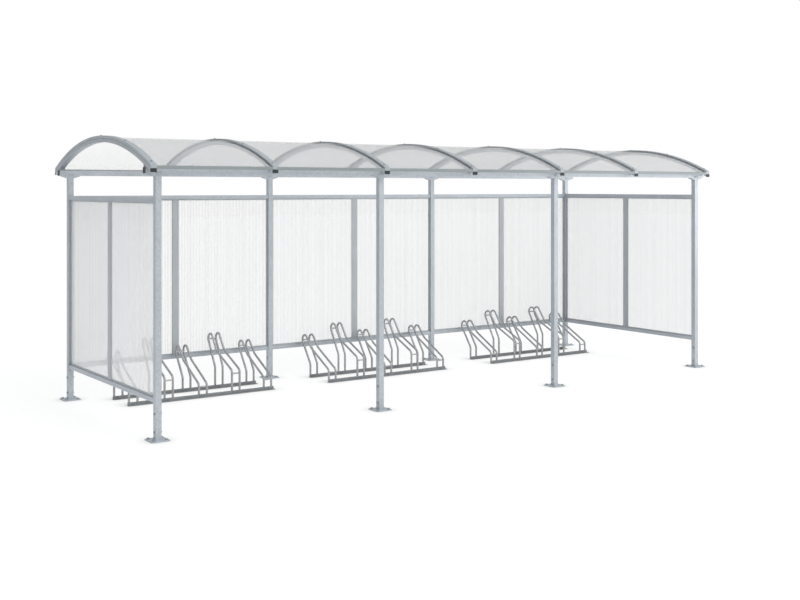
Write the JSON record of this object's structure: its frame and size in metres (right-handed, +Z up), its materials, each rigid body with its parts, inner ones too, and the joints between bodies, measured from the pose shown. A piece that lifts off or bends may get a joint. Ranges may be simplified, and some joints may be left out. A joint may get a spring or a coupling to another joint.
{
  "type": "bike shelter",
  "caption": "Open-fronted bike shelter with a steel tube frame, vaulted translucent roof, translucent back and end walls and floor racks with raised and lowered wheel holders.",
  "frame": {"origin": "on the ground at the centre of the shelter", "axes": "+X along the length, +Y from the open front to the back wall, +Z up"},
  "size_m": [6.554, 2.308, 2.4398],
  "materials": {
    "galvanised_steel": "hot-dip galvanised, satin",
    "aluminium": "mill finish, satin",
    "multiwall_sheet": "clear translucent multiwall sheet with fine flutes",
    "black_plastic": "moulded, matt",
    "gasket_rubber": "extruded, matt"
  },
  "bodies": {
    "root": {"post_front_1": "galvanised_steel", "post_front_2": "galvanised_steel", "post_front_3": "galvanised_steel", "post_front_4": "galvanised_steel", "post_back_1": "galvanised_steel", "post_back_2": "galvanised_steel", "post_back_3": "galvanised_steel", "post_back_4": "galvanised_steel", "post_feet": "galvanised_steel", "post_heads_front": "galvanised_steel", "post_heads_back": "galvanised_steel", "eaves_beam_front": "galvanised_steel", "eaves_beam_back": "galvanised_steel", "roof_rib_1": "galvanised_steel", "roof_rib_2": "galvanised_steel", "roof_rib_3": "galvanised_steel", "roof_rib_4": "galvanised_steel", "roof_rib_5": "galvanised_steel", "roof_rib_6": "galvanised_steel", "roof_rib_7": "galvanised_steel", "back_wall_rails": "galvanised_steel", "end_wall_rails": "galvanised_steel", "rack_floor_rails": "galvanised_steel", "rack_1_hoops": "galvanised_steel", "rack_2_hoops": "galvanised_steel", "rack_3_hoops": "galvanised_steel", "rack_cross_bars": "galvanised_steel", "cover_screws": "galvanised_steel", "rib_saddles": "galvanised_steel", "roof_cover_strips": "aluminium", "eaves_profiles": "aluminium", "back_wall_mullions": "aluminium", "end_wall_mullions": "aluminium", "wall_channels": "aluminium", "roof_sheet_1": "multiwall_sheet", "roof_sheet_2": "multiwall_sheet", "roof_sheet_3": "multiwall_sheet", "roof_sheet_4": "multiwall_sheet", "roof_sheet_5": "multiwall_sheet", "roof_sheet_6": "multiwall_sheet", "back_wall_panels": "multiwall_sheet", "end_wall_panels": "multiwall_sheet", "beam_end_caps": "black_plastic", "rib_end_caps": "black_plastic", "rib_gaskets": "gasket_rubber"}
  },
  "joints": []
}
